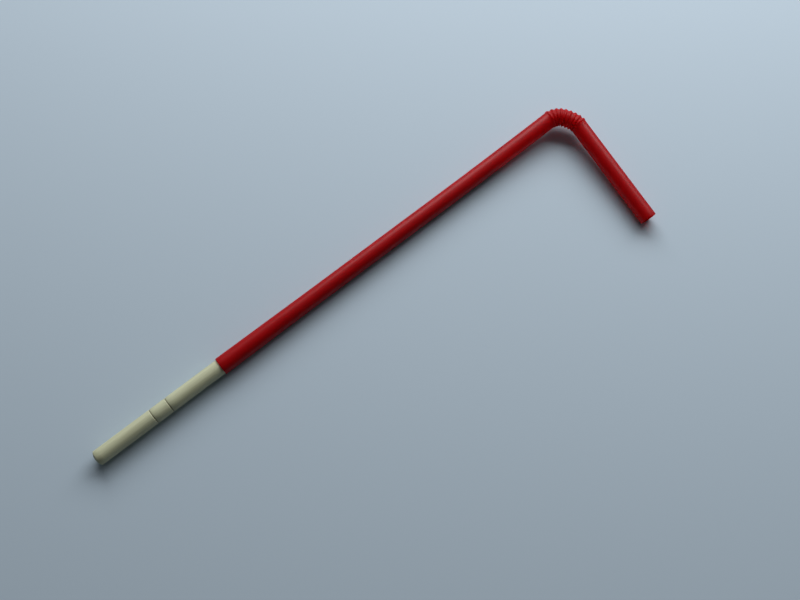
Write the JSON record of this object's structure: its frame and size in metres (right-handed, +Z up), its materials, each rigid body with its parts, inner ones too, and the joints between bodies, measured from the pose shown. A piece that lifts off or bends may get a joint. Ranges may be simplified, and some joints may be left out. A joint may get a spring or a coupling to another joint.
{
  "type": "drinking straw",
  "caption": "Flexible drinking straw bent to a right angle at its bellows, with a scored round wooden stick pushed into its lower end.",
  "frame": {"origin": "on the surface that the straw lies on, under the middle of its box", "axes": "+X along the stem, from the stick to the bellows; -Y is the side that the mouth tube turns to; +Z up"},
  "size_m": [0.2068, 0.0536, 0.0082],
  "materials": {
    "straw_plastic": "satin, moulded in colour",
    "stick_wood": "turned and sanded, unvarnished"
  },
  "bodies": {
    "root": {"straw": "straw_plastic", "wooden_stick": "stick_wood"}
  },
  "joints": []
}
